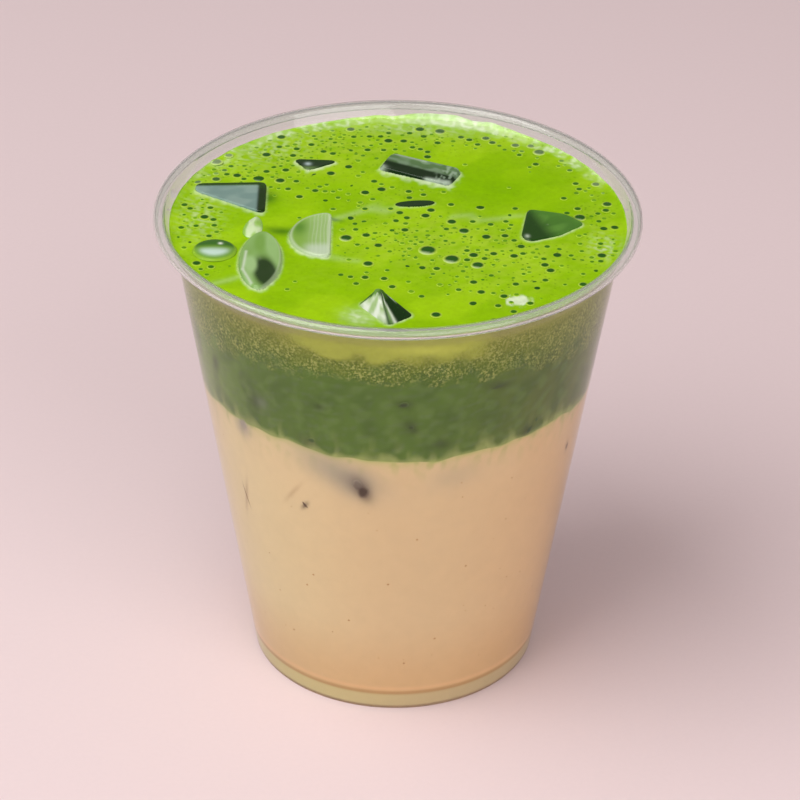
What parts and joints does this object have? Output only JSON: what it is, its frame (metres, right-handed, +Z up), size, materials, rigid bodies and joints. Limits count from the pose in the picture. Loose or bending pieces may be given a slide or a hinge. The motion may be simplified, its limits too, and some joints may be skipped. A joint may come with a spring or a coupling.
{
  "type": "iced matcha latte in a clear plastic cup",
  "caption": "Tapered clear plastic cup with a rolled lip, filled with milk, green matcha and bubbly froth with ice breaking the surface.",
  "frame": {"origin": "centre of the cup's foot ring on the surface it stands on", "axes": "+Z up along the cup's axis; -Y is the front"},
  "size_m": [0.098, 0.098, 0.1022],
  "materials": {
    "clear_cup": "clear thermoformed PET, glossy",
    "milk": "opaque beige milk behind the clear wall",
    "matcha": "opaque dark green tea behind the clear wall",
    "froth": "moist bright green froth with fine bubbles",
    "ice": "wet clear ice with melted edges"
  },
  "bodies": {
    "root": {"cup": "clear_cup", "milk": "milk", "matcha": "matcha", "froth": "froth", "ice_slab": "ice", "ice_sliver": "ice", "ice_bar": "ice", "ice_ridge": "ice", "ice_wedge": "ice", "ice_fan": "ice", "ice_leaf": "ice", "ice_peak": "ice"}
  },
  "joints": []
}
